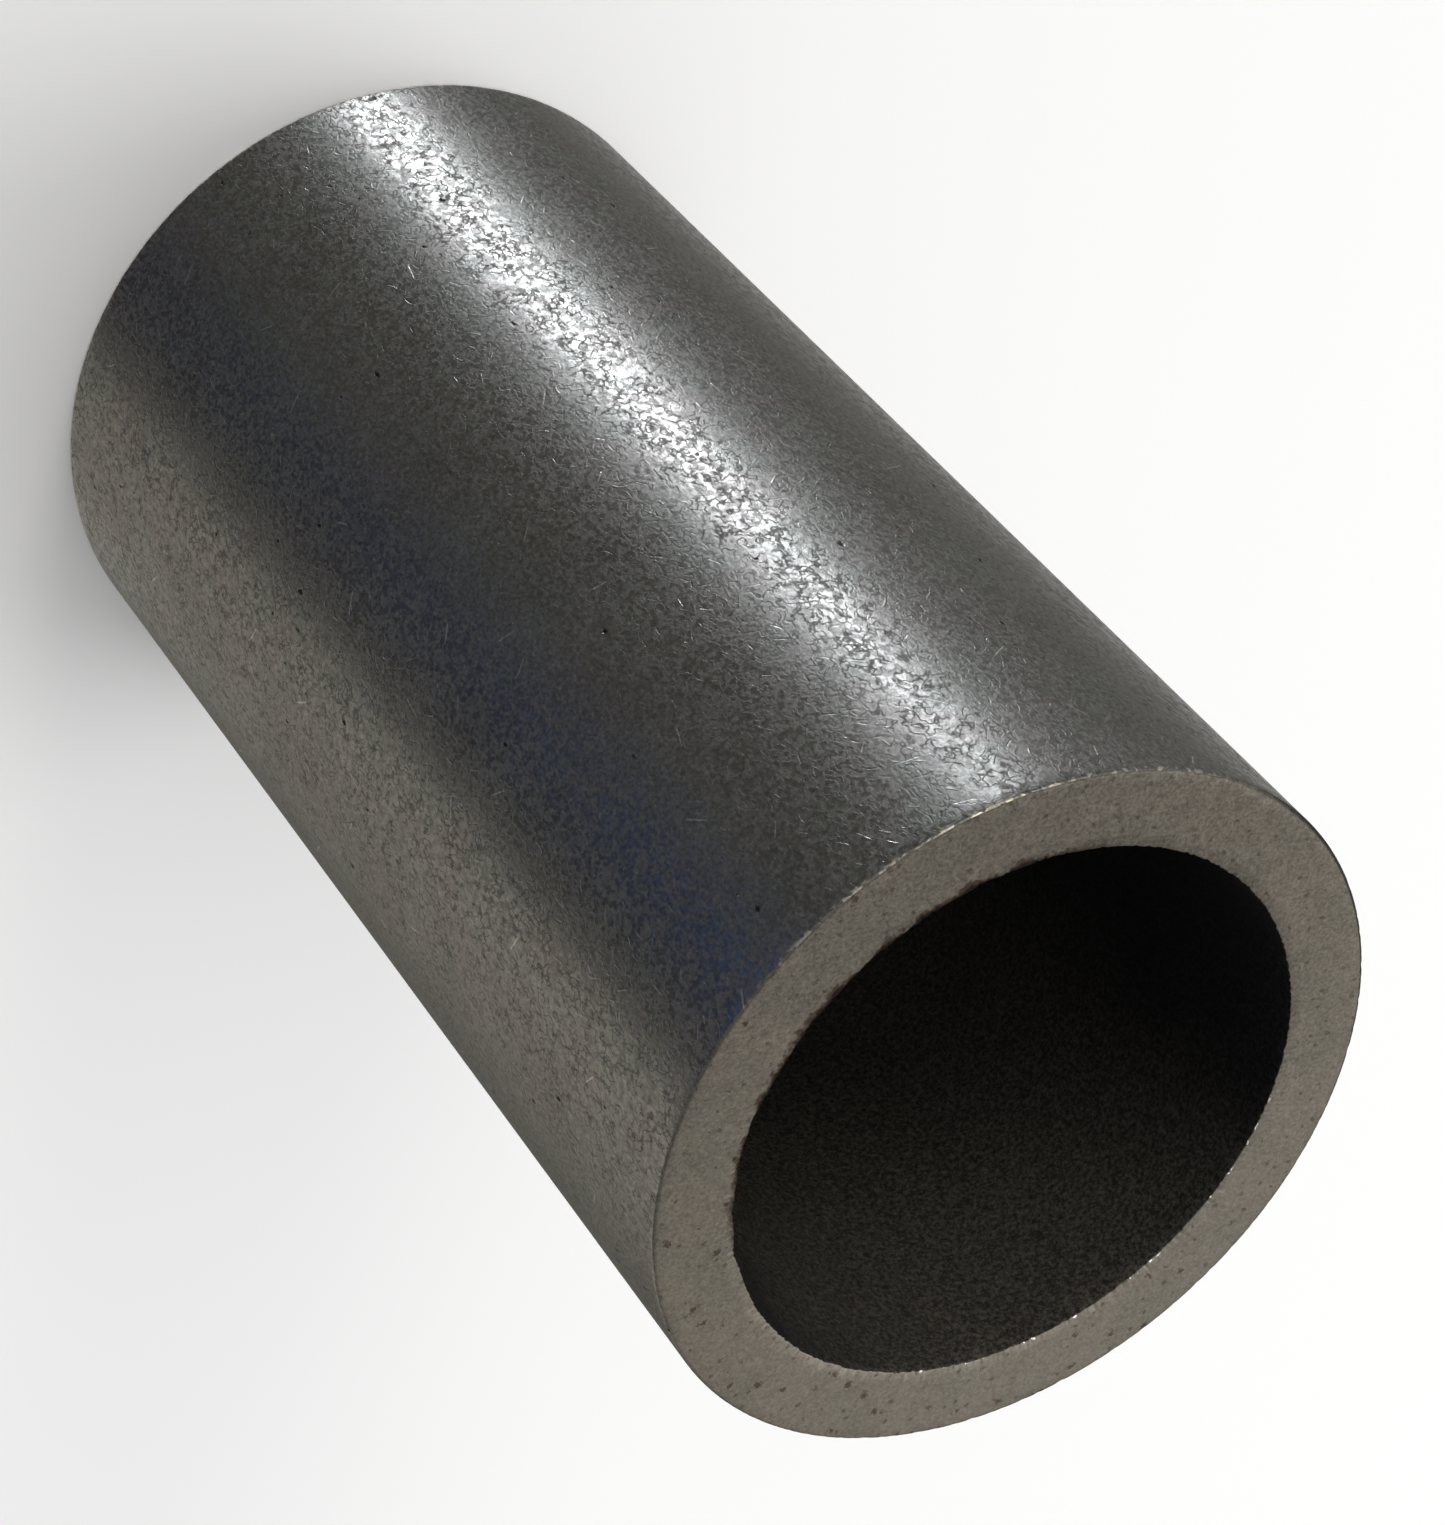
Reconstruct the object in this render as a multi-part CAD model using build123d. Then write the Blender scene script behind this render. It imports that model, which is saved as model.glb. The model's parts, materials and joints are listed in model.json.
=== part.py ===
from build123d import *

import os

# Spacer sleeve: a short length of thick-walled steel tube with square-cut ends.
#
# The sleeve is one piece. A bolt or pin passes through its bore, and it holds the parts at its
# two ends a set distance apart. It is parted off from standard tube, and tumbling has rounded the
# outside edges. The bore edges only have a small break, so the bore keeps its full bearing length.
#
# Sizes are in millimetres. The origin is the centre of the lower end face, and +Z runs up the bore.

# The tube that the sleeve is cut from.
outer_diameter = 26.9
wall = 2.9

# How it is cut and finished.
length = 50.0
outer_edge_radius = 0.25
bore_edge_break = 0.12

bore_radius = outer_diameter / 2 - wall


def wall_section():
    """The wall on one side of the axis: X is the radius, Y the height above the lower end face."""
    with BuildSketch() as section:
        with Locations((bore_radius, 0)):
            Rectangle(wall, length, align=(Align.MIN, Align.MIN))
        outside_corners = section.vertices().group_by(Axis.X)[-1]
        fillet(outside_corners, outer_edge_radius)
        bore_corners = section.vertices().group_by(Axis.X)[0]
        chamfer(bore_corners, bore_edge_break)
    return section.sketch


def turned_sleeve():
    """The wall section, stood up in the XZ plane and turned round the bore's axis."""
    return revolve(Plane.XZ * wall_section(), Axis.Z)


os.makedirs("parts", exist_ok=True)
export_step(turned_sleeve(), "parts/spacer_sleeve.step")
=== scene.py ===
import json
import math

import bmesh
import bpy
from mathutils import Matrix, Vector, noise


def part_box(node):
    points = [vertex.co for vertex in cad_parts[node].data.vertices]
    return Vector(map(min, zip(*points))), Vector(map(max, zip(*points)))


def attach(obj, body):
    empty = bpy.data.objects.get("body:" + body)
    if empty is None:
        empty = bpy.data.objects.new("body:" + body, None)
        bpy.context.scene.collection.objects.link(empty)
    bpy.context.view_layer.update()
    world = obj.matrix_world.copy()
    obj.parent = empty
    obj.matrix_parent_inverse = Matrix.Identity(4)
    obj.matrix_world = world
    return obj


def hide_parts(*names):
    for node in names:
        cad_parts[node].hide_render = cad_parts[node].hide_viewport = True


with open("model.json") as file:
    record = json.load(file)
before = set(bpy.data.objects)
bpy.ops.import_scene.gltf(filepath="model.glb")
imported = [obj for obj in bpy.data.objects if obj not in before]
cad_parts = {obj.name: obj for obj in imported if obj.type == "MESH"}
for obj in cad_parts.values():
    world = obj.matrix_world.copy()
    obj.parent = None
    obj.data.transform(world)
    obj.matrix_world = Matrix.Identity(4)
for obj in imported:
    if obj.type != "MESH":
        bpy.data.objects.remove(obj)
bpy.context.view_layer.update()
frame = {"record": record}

# ---------------------------------------------------------------------------------------------
# The sleeve: one length of thick-walled steel tube, sawn off square at both ends. Tumbling in
# a barrel with its fellows rounded the outside edges and covered the skin in small marks, and
# the saw left a fine ragged edge round the bore.
# ---------------------------------------------------------------------------------------------
MM = 0.001
low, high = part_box("spacer_sleeve")
mounts = {mount["name"]: mount for mount in frame["record"]["mounts"]}
outer_radius = min(-low.x, high.x, -low.y, high.y)
bore_radius = mounts["bore"]["dims"]["r_mm"] * MM
length = high.z - low.z

edge_radius = 0.15 * MM
bore_break = 0.05 * MM
steady = 0.5 * MM  # a ring this far from each corner keeps the flats flat
segments = 1440
wall_rings = 4
weld = 1e-7
SKIN, CUT, BORE = 0, 1, 2


def wall_section():
    """The wall on the +X side of the axis: a rectangle of wire with its corners broken."""
    mesh = bmesh.new()
    corners = [
        mesh.verts.new((bore_radius, 0, 0)),
        mesh.verts.new((outer_radius, 0, 0)),
        mesh.verts.new((outer_radius, 0, length)),
        mesh.verts.new((bore_radius, 0, length)),
    ]
    for i in range(4):
        mesh.edges.new((corners[i], corners[(i + 1) % 4]))
    for radius, size, steps in ((outer_radius, edge_radius, 5), (bore_radius, bore_break, 2)):
        sharp = [v for v in mesh.verts if abs(v.co.x - radius) < size / 10]
        bmesh.ops.bevel(
            mesh, geom=sharp, affect="VERTICES", offset=size, segments=steps, profile=0.5, material=-1,
        )
    beside_corners = (
        ((0, 0, steady), (0, 0, 1)), ((0, 0, length - steady), (0, 0, 1)),
        ((bore_radius + steady, 0, 0), (1, 0, 0)), ((outer_radius - steady, 0, 0), (1, 0, 0)),
    )
    for place, normal in beside_corners:
        bmesh.ops.bisect_plane(
            mesh, geom=mesh.verts[:] + mesh.edges[:], plane_co=place, plane_no=normal, dist=weld,
        )
    upright = [e for e in mesh.edges if e.calc_length() > length / 2]
    bmesh.ops.subdivide_edges(mesh, edges=upright, cuts=wall_rings)
    return mesh


def turned_wall():
    """The section spun all the way round the bore's axis."""
    mesh = wall_section()
    bmesh.ops.spin(
        mesh, geom=mesh.verts[:] + mesh.edges[:], cent=(0, 0, 0), axis=(0, 0, 1), dvec=(0, 0, 0),
        angle=math.radians(360), steps=segments, use_merge=True,
    )
    bmesh.ops.remove_doubles(mesh, verts=mesh.verts, dist=weld)
    bmesh.ops.recalc_face_normals(mesh, faces=mesh.faces)
    return mesh


def mark_finishes(mesh):
    """The outside and its rounded edges keep the skin, the ends are cut steel, the bore is scaled."""
    for face in mesh.faces:
        face.smooth = True
        centre = face.calc_center_median()
        radius = centre.xy.length
        from_end = min(centre.z, length - centre.z)
        if from_end < 0.15 * edge_radius and radius > bore_radius + 0.4 * bore_break:
            face.material_index = CUT
        elif radius > (outer_radius + bore_radius) / 2:
            face.material_index = SKIN
        else:
            face.material_index = BORE


def wear_edges(mesh):
    """Small nicks in the rounded outside edges, and the saw's ragged edge round the bore."""
    nick_depth, nick_length = 0.022 * MM, 0.34 * MM
    tooth_depth, tooth_length = 0.050 * MM, 0.17 * MM
    bite_depth, bite_length = 0.12 * MM, 1.3 * MM
    near_bore = 1.1 * bore_break
    down_share = 0.7
    for vertex in mesh.verts:
        radius = vertex.co.xy.length
        out = Vector((vertex.co.x, vertex.co.y, 0)) / radius
        from_end = min(vertex.co.z, length - vertex.co.z)
        inward = Vector((0, 0, -1 if vertex.co.z > length / 2 else 1))
        into_corner = min(edge_radius - from_end, radius - outer_radius + edge_radius) / edge_radius
        if into_corner > 0:
            nick = max(0.0, noise.noise(vertex.co / nick_length)) * nick_depth
            vertex.co += (inward - out) * nick * min(1.0, 3 * into_corner)
        if radius < bore_radius + near_bore and from_end < near_bore:
            tooth = noise.noise(vertex.co / tooth_length) * tooth_depth
            bite = max(0.0, noise.noise(vertex.co / bite_length) - 0.1) * bite_depth
            vertex.co += out * (tooth + bite) + inward * (abs(tooth) + bite) * down_share


sleeve_mesh = turned_wall()
mark_finishes(sleeve_mesh)
wear_edges(sleeve_mesh)
sleeve_data = bpy.data.meshes.new("spacer_sleeve_finished")
sleeve_mesh.to_mesh(sleeve_data)
sleeve_mesh.free()
sleeve = bpy.data.objects.new("spacer_sleeve_finished", sleeve_data)
bpy.context.scene.collection.objects.link(sleeve)


class Tree:
    """A short way to write a node tree: a call adds a node, fills its inputs and gives its output."""

    def __init__(self, tree):
        self.tree = tree

    def fill(self, socket, value):
        if isinstance(value, bpy.types.NodeSocket):
            self.tree.links.new(value, socket)
        else:
            socket.default_value = value

    def add(self, kind, settings=None, **inputs):
        """_0, _1 and so on fill an input by number, and Base_Color fills the one called Base Color."""
        made = self.tree.nodes.new(kind)
        for name, value in (settings or {}).items():
            setattr(made, name, value)
        for name, value in inputs.items():
            key = int(name[1:]) if name[0] == "_" else name.replace("_", " ")
            self.fill(made.inputs[key], value)
        return made

    def math(self, operation, a, b=0.0, c=0.0):
        return self.add("ShaderNodeMath", {"operation": operation}, _0=a, _1=b, _2=c).outputs[0]

    def times(self, a, b):
        return self.math("MULTIPLY", a, b)

    def plus(self, *values):
        total = values[0]
        for value in values[1:]:
            total = self.math("ADD", total, value)
        return total

    def about(self, value, middle, amount):
        """How far value is from its middle, times amount."""
        return self.math("MULTIPLY_ADD", value, amount, -middle * amount)

    def vector(self, operation, a, b=(0, 0, 0)):
        made = self.add("ShaderNodeVectorMath", {"operation": operation}, _0=a, _1=b)
        return made.outputs["Value"] if operation in ("DOT_PRODUCT", "LENGTH") else made.outputs[0]

    def scale(self, vector, factor):
        made = self.add("ShaderNodeVectorMath", {"operation": "SCALE"}, _0=vector, Scale=factor)
        return made.outputs[0]

    def ramp(self, value, start, end, to_start=0.0, to_end=1.0):
        made = self.add("ShaderNodeMapRange", {"interpolation_type": "SMOOTHSTEP"},
                        _0=value, _1=start, _2=end, _3=to_start, _4=to_end)
        return made.outputs[0]

    def mix(self, factor, a, b):
        return self.add("ShaderNodeMix", {"data_type": "RGBA"}, _0=factor, _6=a, _7=b).outputs[2]

    def noise(self, place, size, detail=2.0, roughness=0.5):
        made = self.add("ShaderNodeTexNoise", None, Vector=place, Scale=1 / size, Detail=detail,
                        Roughness=roughness)
        return made.outputs[0]

    def group(self, node_group, **inputs):
        return self.add("ShaderNodeGroup", {"node_tree": node_group}, **inputs).outputs

    def bump(self, depth, distance):
        made = self.add("ShaderNodeBump", None, Strength=1.0, Distance=distance, Height=depth)
        return made.outputs[0]


def new_group(name, inputs, outputs):
    """An empty node group with the named inputs, each with its first value, and the named outputs."""
    group = bpy.data.node_groups.new(name, "ShaderNodeTree")
    for label, value in inputs.items():
        kind = "NodeSocketVector" if value is None else "NodeSocketFloat"
        socket = group.interface.new_socket(label, in_out="INPUT", socket_type=kind)
        if value is not None:
            socket.default_value = value
    for label in outputs:
        group.interface.new_socket(label, in_out="OUTPUT", socket_type="NodeSocketFloat")
    t = Tree(group)
    return t, t.add("NodeGroupInput").outputs, t.add("NodeGroupOutput").inputs


def one_to_a_cell(t, scaled, dimensions="3D"):
    """Cuts space into cells: the way and distance from each cell's middle, and its three chances."""
    settings = {"feature": "F1", "voronoi_dimensions": dimensions}
    cell = t.add("ShaderNodeTexVoronoi", settings, Vector=scaled, Scale=1.0)
    chance = t.add("ShaderNodeSeparateColor", None, _0=cell.outputs["Color"]).outputs
    return t.vector("SUBTRACT", scaled, cell.outputs["Position"]), cell.outputs["Distance"], chance


def build_tumble_marks():
    """Short curved scratches, one to a cell. Along and Across are the two ways over the surface."""
    t, given, out = new_group(
        "tumble_marks",
        {"Place": None, "Along": None, "Across": None, "Cell": 0.0003, "Length": 0.5, "Width": 0.1,
         "Turn": 3.1, "Curl": 0.6, "Share": 1.0},
        ("Mark", "Tone"),
    )
    scaled = t.scale(given["Place"], t.math("DIVIDE", 1.0, given["Cell"]))
    from_middle, _, chance = one_to_a_cell(t, scaled)
    a = t.vector("DOT_PRODUCT", from_middle, given["Along"])
    b = t.vector("DOT_PRODUCT", from_middle, given["Across"])
    turn = t.times(t.about(chance[0], 0.5, 1.0), given["Turn"])
    cosine, sine = t.math("COSINE", turn), t.math("SINE", turn)
    run = t.plus(t.times(a, cosine), t.times(b, sine))
    side = t.math("SUBTRACT", t.times(b, cosine), t.times(a, sine))
    curl = t.times(t.about(chance[1], 0.5, 1.0), given["Curl"])
    side = t.plus(side, t.times(curl, t.times(run, run)))
    half = t.times(given["Length"], t.math("MULTIPLY_ADD", chance[2], 0.5, 0.5))
    within = t.ramp(t.math("DIVIDE", t.math("ABSOLUTE", side), given["Width"]), 1.0, 0.3)
    ending = t.ramp(t.math("DIVIDE", t.math("ABSOLUTE", run), half), 1.0, 0.6)
    kept = t.math("LESS_THAN", t.math("FRACT", t.times(chance[1], 7.31)), given["Share"])
    t.fill(out["Mark"], t.times(t.times(within, ending), kept))
    t.fill(out["Tone"], t.math("FRACT", t.times(chance[0], 13.7)))
    return t.tree


def build_specks(name, dimensions):
    """Small ragged spots, at most one to a cell. On a flat end the cells are flat too."""
    t, given, out = new_group(
        name,
        {"Place": None, "Cell": 0.002, "Size": 0.1, "Ragged": 0.2, "Share": 0.5},
        ("Speck", "Tone"),
    )
    scaled = t.scale(given["Place"], t.math("DIVIDE", 1.0, given["Cell"]))
    wobble = t.add("ShaderNodeTexNoise", None, Vector=scaled, Scale=9.0, Detail=1.0).outputs["Color"]
    wobble = t.scale(t.vector("SUBTRACT", wobble, (0.5, 0.5, 0.5)), given["Ragged"])
    _, distance, chance = one_to_a_cell(t, t.vector("ADD", scaled, wobble), dimensions)
    size = t.times(given["Size"], t.math("MULTIPLY_ADD", chance[0], 0.65, 0.35))
    inside = t.ramp(t.math("DIVIDE", distance, size), 1.0, 0.45)
    kept = t.math("LESS_THAN", chance[1], given["Share"])
    t.fill(out["Speck"], t.times(inside, kept))
    t.fill(out["Tone"], chance[2])
    return t.tree


tumble_marks = build_tumble_marks()
specks = build_specks("specks", "3D")
flat_specks = build_specks("flat_specks", "2D")


def new_material(name):
    """An empty material, the Tree that fills it, and the place of each point on the sleeve."""
    material = bpy.data.materials.new(name)
    material.use_nodes = True
    material.node_tree.nodes.clear()
    t = Tree(material.node_tree)
    return material, t, t.add("ShaderNodeTexCoord").outputs["Object"]


def finish_material(t, shader):
    """The shader goes to the material's surface."""
    out = t.add("ShaderNodeOutputMaterial")
    t.fill(out.inputs["Surface"], shader.outputs[0])


def on_side(t, outward, way, start, end, least=0.0):
    """Rises from least to 1 on the side of the sleeve that faces the given way."""
    return t.ramp(t.vector("DOT_PRODUCT", outward, way), start, end, least, 1.0)


# The skin is dark, satin and grained, with dull patches and fine winding grooves. Short strokes, a
# few long scratches and small pits lie over them. On one side the rim is painted bright in beads,
# partly rubbed steel and partly a painted glint; on the other side it is painted dark, a painted
# shade.
level = (1, 1, 0)
skin_grey, skin_brown = (0.132, 0.129, 0.117, 1), (0.136, 0.127, 0.117, 1)
# the bright rim colour is partly a painted glint, the dark rim colour is a painted shade
rubbed_glint_steel, painted_rim_shade = (0.38, 0.345, 0.275, 1), (0.030, 0.027, 0.024, 1)
rim_glint_way, rim_shade_way = (-0.42, -0.91, 0), (-0.5, 0.866, 0)
apart = (0.3, 0.1, 0.2)  # keeps the long scratches off the cells of the short strokes
dull_size, groove_size, grain_size, patch_size = 0.26 * MM, 0.32 * MM, 0.13 * MM, 3.0 * MM
stroke_cell, scratch_cell, pit_cell = 0.62 * MM, 3.6 * MM, 1.0 * MM
skin_relief = 0.003 * MM
satin = 0.285

skin, t, place = new_material("tumbled_skin")
level_place = t.vector("MULTIPLY", place, level)
around = t.vector("NORMALIZE", t.vector("CROSS_PRODUCT", level_place, (0, 0, 1)))
height = t.add("ShaderNodeSeparateXYZ", None, _0=place).outputs[2]

drawn_out = t.vector("MULTIPLY", place, (1, 1, 0.72))
dull = t.ramp(t.noise(drawn_out, dull_size, 1.2, 0.5), 0.46, 0.56)
winding = t.noise(drawn_out, groove_size, 1.5, 0.6)
groove = t.ramp(t.math("ABSOLUTE", t.about(winding, 0.5, 1.0)), 0.070, 0.012)
patch = t.noise(place, patch_size, 3.0, 0.6)
groove = t.times(groove, t.ramp(t.noise(place, 0.7 * MM, 1.0), 0.36, 0.56, 0.25, 1.0))
grain = t.noise(drawn_out, grain_size, 1.0, 0.6)
stroke, tone = t.group(tumble_marks, Place=place, Along=(0, 0, 1), Across=around, Cell=stroke_cell,
                       Length=0.62, Width=0.070, Turn=2.4, Curl=1.0, Share=0.7)
stroke_tone = t.times(stroke, t.about(tone, 0.5, 2.0))
scratch, _ = t.group(tumble_marks, Place=t.vector("ADD", place, apart), Along=(0, 0, 1),
                     Across=around, Cell=scratch_cell, Length=0.17, Width=0.011, Turn=2.8, Curl=0.8,
                     Share=0.35)
pit, _ = t.group(specks, Place=t.vector("MULTIPLY", place, (1, 1, 0.55)), Cell=pit_cell, Size=0.13,
                 Ragged=0.12, Share=0.75)

depth = t.plus(t.about(grain, 0.5, 1.4), t.times(dull, -0.5), t.times(groove, -1.1),
               t.times(stroke_tone, 2.3), t.times(scratch, -1.6), t.times(pit, -5.0))

shade = t.plus(1.00, t.about(grain, 0.5, 1.05), t.about(patch, 0.5, 0.30), t.times(groove, -0.09),
               t.times(stroke_tone, 0.18), t.times(scratch, 0.9))
shade = t.times(shade, t.math("MULTIPLY_ADD", pit, -0.8, 1.0))
mottle = t.ramp(t.noise(place, 2.4 * MM, 2.0), 0.40, 0.62)
colour = t.scale(t.mix(mottle, skin_grey, skin_brown), shade)
from_end = t.math("MINIMUM", height, t.math("SUBTRACT", length, height))
on_edge = t.ramp(from_end, 0.20 * MM, 0.11 * MM)
outward = t.vector("NORMALIZE", level_place)
# painted glint over some rubbing: the rim is painted bright in beads only on the side the light
# catches
rim_glint_side = on_side(t, outward, rim_glint_way, 0.72, 0.93, 0.10)
glint_bead = t.ramp(t.noise(place, 0.30 * MM, 1.0, 0.5), 0.50, 0.58)
colour = t.mix(t.times(t.times(on_edge, glint_bead), rim_glint_side), colour, rubbed_glint_steel)
# painted shade: the rim is painted dark on the side turned away from the light
rim_shade_side = on_side(t, outward, rim_shade_way, 0.0, 0.45)
colour = t.mix(t.times(t.times(on_edge, rim_shade_side), 0.85), colour, painted_rim_shade)
rough = t.plus(satin, t.times(groove, 0.24), t.times(dull, 0.13))
shader = t.add("ShaderNodeBsdfPrincipled", None, Base_Color=colour, Metallic=1.0, Roughness=rough,
               Specular_Tint=(0.42, 0.42, 0.42, 1), Normal=t.bump(depth, skin_relief))
finish_material(t, shader)

# The sawn ends are bare steel gone dull: a fine sandy grain, small dark dots, and specks of rust
# that gather towards the outside edge. Brown and black dirt fringes one side of the bore. On the
# other side, glints are painted onto the bore's edge in places, a painted highlight. The end is also
# painted lighter towards +Y and +X, and its rim dark on one side: painted light and shade.
face_grey, face_brown = (0.144, 0.131, 0.107, 1), (0.150, 0.131, 0.109, 1)
rust_brown, painted_glint_steel = (0.052, 0.036, 0.025, 1), (0.85, 0.82, 0.75, 1)
fringe_brown, fringe_black = (0.062, 0.040, 0.029, 1), (0.016, 0.012, 0.010, 1)
rusty_way, fringe_way, glint_way = (0.80, 0.60, 0), (0.139, -0.99, 0), (0.09, 0.996, 0)
aside = (0.1, 0.3, 0.2)  # keeps the rust off the cells of the dots
grain_tilt = (0.6, 0.4, 0.9)  # a level cut through the grain would show its cells in rows
sand_size, clot_size, stain_size = 0.13 * MM, 0.38 * MM, 2.6 * MM
scuff_cell, dot_cell, rust_cell = 0.5 * MM, 0.74 * MM, 1.05 * MM
face_relief = 0.005 * MM

cut, t, place = new_material("sawn_face")
across, along, _ = t.add("ShaderNodeSeparateXYZ", None, _0=place).outputs
level_place = t.vector("MULTIPLY", place, level)
radius = t.vector("LENGTH", level_place)
turn = {"rotation_type": "EULER_XYZ"}
tilted = t.add("ShaderNodeVectorRotate", turn, Vector=place, Rotation=grain_tilt).outputs[0]
grain = t.noise(tilted, sand_size, 3.0, 0.75)
clot = t.noise(tilted, clot_size, 2.0, 0.6)
patch = t.noise(place, stain_size, 3.0, 0.6)
scuff, tone = t.group(tumble_marks, Place=place, Along=(1, 0, 0), Across=(0, 1, 0), Cell=scuff_cell,
                      Length=0.5, Width=0.12, Turn=6.2, Curl=1.5, Share=0.7)
scuff_tone = t.times(scuff, t.about(tone, 0.5, 2.0))
dot, _ = t.group(flat_specks, Place=place, Cell=dot_cell, Size=0.19, Ragged=0.30, Share=0.6)
outward = t.vector("NORMALIZE", level_place)
rusty_side = on_side(t, outward, rusty_way, -0.1, 0.8)
near_rim = t.ramp(radius, outer_radius - 0.9 * MM, outer_radius - 0.1 * MM)
rust_share = t.plus(t.times(rusty_side, 0.40), t.times(near_rim, 0.20))
rust, _ = t.group(flat_specks, Place=t.vector("ADD", place, aside), Cell=rust_cell, Size=0.20,
                  Ragged=0.34, Share=rust_share)
fringe_width = t.math("MULTIPLY_ADD", t.noise(place, 1.0 * MM, 3.0, 0.7), 1.6 * MM, -0.60 * MM)
brown = t.ramp(t.math("SUBTRACT", radius, fringe_width), bore_radius + 0.10 * MM,
               bore_radius - 0.06 * MM)
brown = t.times(brown, on_side(t, outward, fringe_way, 0.45, 0.85))
black = t.ramp(t.math("SUBTRACT", radius, t.times(fringe_width, 0.45)), bore_radius + 0.08 * MM,
               bore_radius - 0.04 * MM)
black = t.times(black, brown)
# painted light: the end is painted lighter towards +Y and +X
shade = t.plus(0.97, t.about(grain, 0.5, 1.5), t.about(clot, 0.5, 0.45), t.about(patch, 0.5, 0.25),
               t.times(scuff_tone, 0.03), t.times(along, 0.23 / outer_radius),
               t.times(across, 0.16 / outer_radius))
shade = t.times(shade, t.math("MULTIPLY_ADD", dot, -0.40, 1.0))
tinted = t.mix(t.ramp(patch, 0.38, 0.62), face_grey, face_brown)
tinted = t.mix(t.times(rust, 0.8), tinted, rust_brown)
tinted = t.mix(t.times(brown, 0.9), tinted, fringe_brown)
tinted = t.mix(t.times(black, 0.9), tinted, fringe_black)
on_rim = t.ramp(radius, outer_radius - 0.17 * MM, outer_radius - 0.10 * MM)
# painted shade: the rim of the end is painted dark on the same side
rim_shade_side = on_side(t, outward, rim_shade_way, 0.0, 0.45)
tinted = t.mix(t.times(t.times(on_rim, rim_shade_side), 0.85), tinted, painted_rim_shade)
# painted highlight: near-white glints painted on the bore's edge, on one side only
on_bore_edge = t.ramp(radius, bore_radius + 0.13 * MM, bore_radius + 0.06 * MM)
glint = t.times(on_bore_edge, t.ramp(t.noise(place, 0.32 * MM, 2.0, 0.6), 0.61, 0.66))
tinted = t.mix(t.times(glint, on_side(t, outward, glint_way, 0.60, 0.85)), tinted, painted_glint_steel)
colour = t.scale(tinted, shade)
depth = t.plus(t.about(grain, 0.5, 1.0), t.times(scuff_tone, 0.3), t.times(dot, -1.0),
               t.times(rust, -1.0))
shader = t.add("ShaderNodeBsdfPrincipled", None, Base_Color=colour, Metallic=1.0, Roughness=0.52,
               Specular_Tint=(0.6, 0.6, 0.6, 1), Normal=t.bump(depth, face_relief))
finish_material(t, shader)

# The bore keeps the mill scale of the tube, rough and almost black. One side is painted lighter and
# browner, a painted light.
scale_black, painted_lit_brown = (0.008, 0.0077, 0.008, 1), (0.037, 0.033, 0.027, 1)
lit_bore_way = (0.42, 0.91, 0)
scale_size, blotch_size = 0.16 * MM, 3.5 * MM
scale_relief = 0.020 * MM

bore, t, place = new_material("scaled_bore")
outward = t.vector("NORMALIZE", t.vector("MULTIPLY", place, level))
grain = t.noise(place, scale_size, 4.0, 0.8)
blotch = t.noise(place, blotch_size, 2.0)
# painted light: the side of the bore that faces the light is painted lighter and browner
lit_bore_side = t.plus(t.vector("DOT_PRODUCT", outward, lit_bore_way), t.about(blotch, 0.5, 0.3))
colour = t.mix(t.ramp(lit_bore_side, 0.35, 1.0), scale_black, painted_lit_brown)
colour = t.scale(colour, t.plus(0.45, t.ramp(grain, 0.36, 0.70, 0.0, 2.6)))
shader = t.add("ShaderNodeBsdfPrincipled", None, Base_Color=colour, Metallic=0.3, Roughness=0.6,
               Specular_IOR_Level=0.2, Normal=t.bump(grain, scale_relief))
finish_material(t, shader)

for material in (skin, cut, bore):
    sleeve_data.materials.append(material)
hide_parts("spacer_sleeve")
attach(sleeve, "root")

# ---------------------------------------------------------------------------------------------
# The studio: a plain pale floor, a soft world and one soft lamp. The upright sleeve mirrors what
# lies below the horizon, so the floor is hidden from mirror rays, and the lower half of the world
# is a dark bench with pale cards about it.
# ---------------------------------------------------------------------------------------------
floor_reach = 3.0
paper_white = (0.96, 0.96, 0.96, 1)
bench_grey, ceiling_white = (0.30, 0.295, 0.275), (0.80, 0.80, 0.80)
lamp_size, lamp_power, lamp_distance = 0.35, 1.0, 0.6

floor_mesh = bmesh.new()
bmesh.ops.create_grid(floor_mesh, x_segments=1, y_segments=1, size=floor_reach)
floor_data = bpy.data.meshes.new("studio_floor")
floor_mesh.to_mesh(floor_data)
floor_mesh.free()
floor = bpy.data.objects.new("studio_floor", floor_data)
bpy.context.scene.collection.objects.link(floor)
paper, t, _ = new_material("pale_paper")
finish_material(t, t.add("ShaderNodeBsdfDiffuse", None, Color=paper_white))
floor_data.materials.append(paper)
floor.visible_glossy = False
floor.visible_shadow = False

world = bpy.data.worlds.new("studio_world")
bpy.context.scene.world = world
world.use_nodes = True
world.node_tree.nodes.clear()
t = Tree(world.node_tree)
direction = t.vector("NORMALIZE", t.add("ShaderNodeTexCoord").outputs["Generated"])
x, y, z = t.add("ShaderNodeSeparateXYZ", None, _0=direction).outputs
bearing = t.times(t.math("ARCTAN2", t.times(x, -1.0), t.times(y, -1.0)), math.degrees(1))


def toward(azimuth, elevation):
    """Unit vector: azimuth from -Y towards -X, elevation above the floor, in degrees."""
    a, e = math.radians(azimuth), math.radians(elevation)
    return Vector((-math.sin(a) * math.cos(e), -math.cos(a) * math.cos(e), math.sin(e)))


def glow(azimuth, elevation, inner, outer, level, colour=(1, 1, 1)):
    """A soft round light: full inside the inner angle, none past the outer one."""
    near = t.vector("DOT_PRODUCT", direction, tuple(toward(azimuth, elevation)))
    none_at, full_at = math.cos(math.radians(outer)), math.cos(math.radians(inner))
    return t.scale(colour, t.ramp(near, none_at, full_at, 0.0, level))


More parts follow.
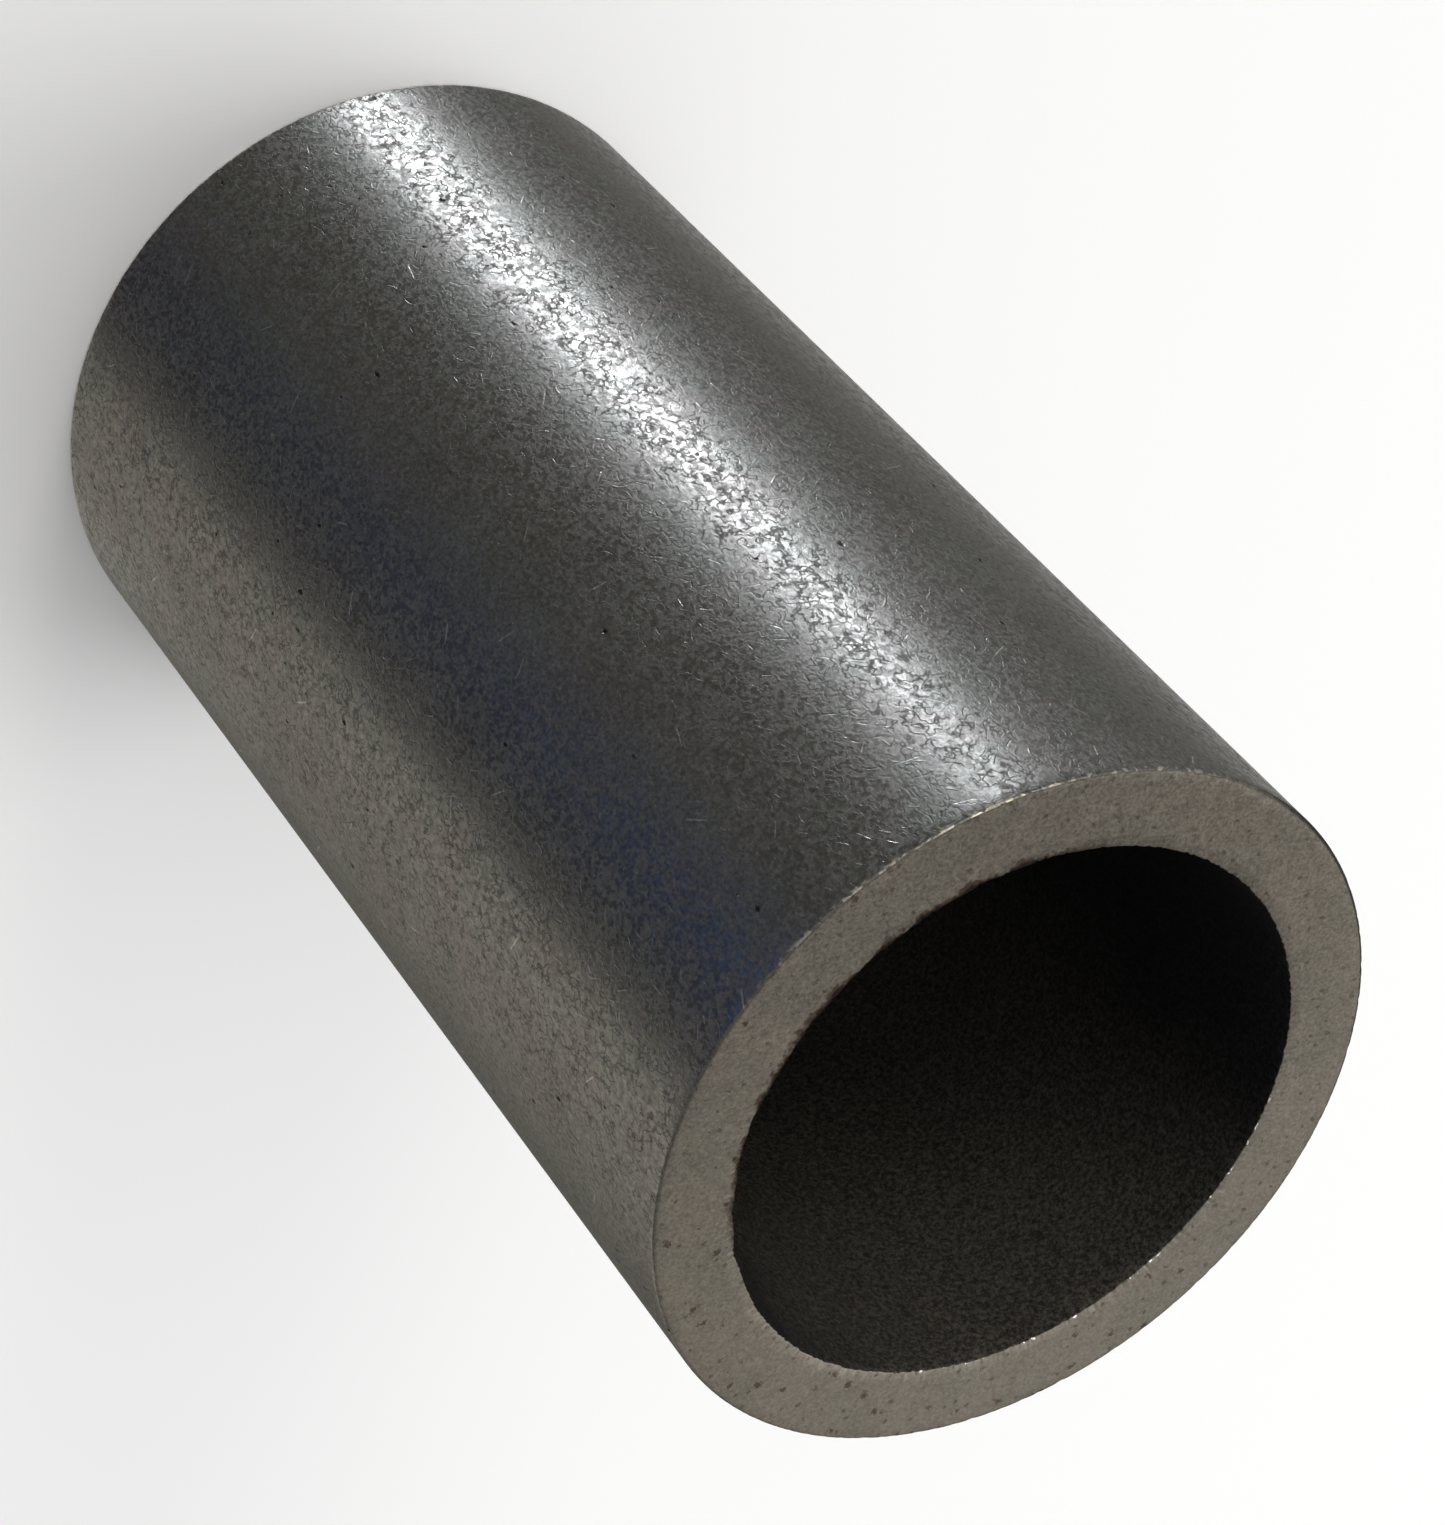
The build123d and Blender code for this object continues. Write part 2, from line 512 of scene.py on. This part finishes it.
def card(start, end, fade_in, fade_out, level, colour=(1, 1, 1)):
    """A tall card between two bearings, with a soft side at each."""
    rise = t.ramp(bearing, start - fade_in / 2, start + fade_in / 2)
    fall = t.ramp(bearing, end + fade_out / 2, end - fade_out / 2)
    return t.scale(colour, t.times(t.times(rise, fall), level))


def sum_of(*lights):
    """All the lights of one half of the world together."""
    total = lights[0]
    for light in lights[1:]:
        total = t.vector("ADD", total, light)
    return total


# A card or glow below the horizon makes one long band or streak on the sleeve. A level below
# zero takes light away.
below = sum_of(
    bench_grey,
    card(-67, -24, 12, 16, -0.155, (1.05, 1.0, 0.82)),
    glow(-29, -30, 4, 15, 0.62, (0.0, 0.36, 1.45)),
    glow(-140, -64, 4, 18, 1.6, (1.0, 0.98, 0.92)),
    card(-140, -70, 20, 11, 1.18, (1.0, 0.97, 0.89)),
    card(82, 176, 36, 6, 0.45, (0.97, 1.0, 1.03)),
    card(132, 176, 16, 6, 0.42, (1.0, 0.96, 0.92)),
    glow(136, -34, 5, 22, 0.35, (1.0, 0.97, 0.92)),
    glow(62, -52, 7, 20, 0.26, (0.84, 1.0, 1.20)),
    glow(64, -54, 1.5, 4.2, 112.0, (0.93, 1.0, 1.11)),
    glow(60, -45, 1.5, 4.2, 30.0, (0.93, 1.0, 1.11)),
)
above = sum_of(
    ceiling_white,
    card(-120, -10, 40, 40, -0.45),
    glow(180, 50, 10, 60, 0.12),
    glow(48, 28, 6, 15, 5.5, (1.0, 0.97, 0.90)),
)
sky = t.mix(t.ramp(z, -0.04, 0.12), below, above)
out = t.add("ShaderNodeOutputWorld")
t.fill(out.inputs["Surface"], t.add("ShaderNodeBackground", None, Color=sky, Strength=1.0).outputs[0])

lamp_data = bpy.data.lights.new("soft_lamp", "AREA")
lamp_data.shape = "DISK"
lamp_data.size = lamp_size
lamp_data.energy = lamp_power
lamp = bpy.data.objects.new("soft_lamp", lamp_data)
lamp.location = toward(140, 52) * lamp_distance
lamp.rotation_euler = (-lamp.location).to_track_quat("-Z", "Y").to_euler()
bpy.context.scene.collection.objects.link(lamp)

# ---------------------------------------------------------------------------------------------
# The camera, held above the sleeve on its -Y side, with a long lens. It is rolled, so that the
# tube runs down the picture's diagonal.
# ---------------------------------------------------------------------------------------------
camera_data = bpy.data.cameras.new("camera")
camera_data.sensor_width = 36
camera_data.lens = 104.9
camera_data.clip_start = 0.01
camera = bpy.data.objects.new("camera", camera_data)
bpy.context.scene.collection.objects.link(camera)
look = Vector((-0.002, 0.711, -0.703)).normalized()
right = Vector((-0.753, 0.461, 0.469)).normalized()
up = right.cross(look)
held_at = Matrix.Translation((0, -0.1136, 0.1411))
camera.matrix_world = held_at @ Matrix((right, up, -look)).transposed().to_4x4()
bpy.context.scene.camera = camera
bpy.context.scene.view_settings.view_transform = "Standard"
